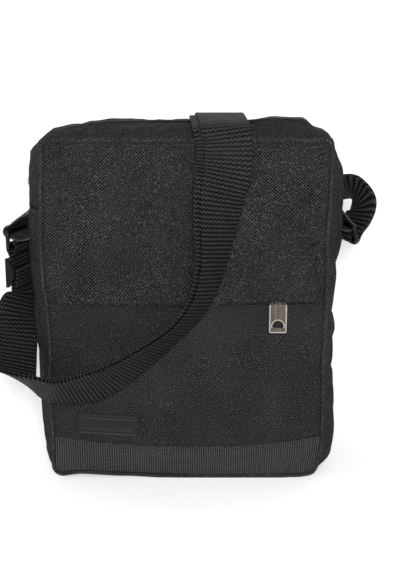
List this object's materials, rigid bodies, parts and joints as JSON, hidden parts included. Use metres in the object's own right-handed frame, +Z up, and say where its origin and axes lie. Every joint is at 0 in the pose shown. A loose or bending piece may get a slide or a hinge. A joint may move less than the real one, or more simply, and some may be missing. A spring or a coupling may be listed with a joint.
{
  "type": "camera bag",
  "caption": "Upright padded camera bag in black polyester with a top zip, zipped front pocket under a flap, side rings and a doubled webbing shoulder strap.",
  "frame": {"origin": "middle of the flat base that the bag stands on", "axes": "+Z up, front of the bag towards -Y, +X to the right seen from the front"},
  "size_m": [0.3162, 0.142, 0.2987],
  "materials": {
    "shell_fabric": "woven 600D polyester, matt",
    "back_fabric": "woven 600D polyester, matt",
    "piping": "covered cord piping",
    "webbing": "ribbed polypropylene webbing",
    "zip_tape": "woven zip tape",
    "zip_coil": "nylon coil",
    "black_metal": "black enamelled slider",
    "nickel": "dark nickel plated, satin with bright rim",
    "ring_steel": "black enamelled wire",
    "glide_plastic": "moulded black",
    "label": "embossed rubberised patch, bare",
    "foam": "closed-cell padding",
    "lining": "brushed nylon lining",
    "board": "polyethylene stiffener",
    "hook_tape": "hook tape"
  },
  "bodies": {
    "root": {"front_panel": "shell_fabric", "pocket_panel": "shell_fabric", "back_panel": "back_fabric", "lower_gusset": "shell_fabric", "zip_gusset_front": "shell_fabric", "zip_gusset_back": "shell_fabric", "front_piping": "piping", "back_piping": "piping", "hem_band": "webbing", "label_patch": "label", "pocket_lining": "lining", "lining_walls": "lining", "main_zip_tapes": "zip_tape", "main_zip_coils": "zip_coil", "main_zip_stops": "black_metal", "pocket_zip_tapes": "zip_tape", "pocket_zip_coils": "zip_coil", "pocket_zip_stops": "black_metal", "side_tab_left": "webbing", "side_tab_right": "webbing", "shoulder_strap": "webbing", "foam_front": "foam", "foam_back": "foam", "foam_bottom": "foam", "foam_left": "foam", "foam_right": "foam", "base_board": "board", "padded_divider": "lining", "divider_hook_tapes": "hook_tape"},
    "main_slider": {"main_zip_slider": "black_metal"},
    "main_pull": {"main_zip_pull": "nickel"},
    "pocket_slider": {"pocket_zip_slider": "black_metal"},
    "pocket_pull": {"pocket_zip_pull": "nickel"},
    "ring_left": {"ring_left": "ring_steel"},
    "ring_right": {"ring_right": "ring_steel"},
    "adjuster": {"strap_adjuster": "glide_plastic", "strap_end_loop": "webbing"}
  },
  "joints": [
    {"name": "main_slider_slide", "type": "slide", "parent": "root", "child": "main_slider", "axis": [0, 0, 1], "range_m": [-0.009, 0.02]},
    {"name": "main_pull_flip", "type": "hinge", "parent": "main_slider", "child": "main_pull", "pos_m": [-0.1276, 0, 0.244], "axis": [0, 0, 1], "range_deg": [0, 150]},
    {"name": "pocket_slider_slide", "type": "slide", "parent": "root", "child": "pocket_slider", "axis": [1, 0, 0], "range_m": [-0.166, 0.02]},
    {"name": "pocket_pull_flip", "type": "hinge", "parent": "pocket_slider", "child": "pocket_pull", "pos_m": [0.073, -0.0369, 0.1523], "axis": [-1, 0, 0], "range_deg": [0, 80]},
    {"name": "ring_left_swing", "type": "hinge", "parent": "root", "child": "ring_left", "pos_m": [-0.13581, 0, 0.206], "axis": [-0.342, -0.9397, 0], "range_deg": [-4, 4]},
    {"name": "ring_right_swing", "type": "hinge", "parent": "root", "child": "ring_right", "pos_m": [0.12756, 0.015, 0.207], "axis": [-0.321, 0.9471, 0], "range_deg": [-10, 0]},
    {"name": "adjuster_slide", "type": "slide", "parent": "root", "child": "adjuster", "axis": [0, 0, 1], "range_m": [-0.003, 0.0005]}
  ]
}
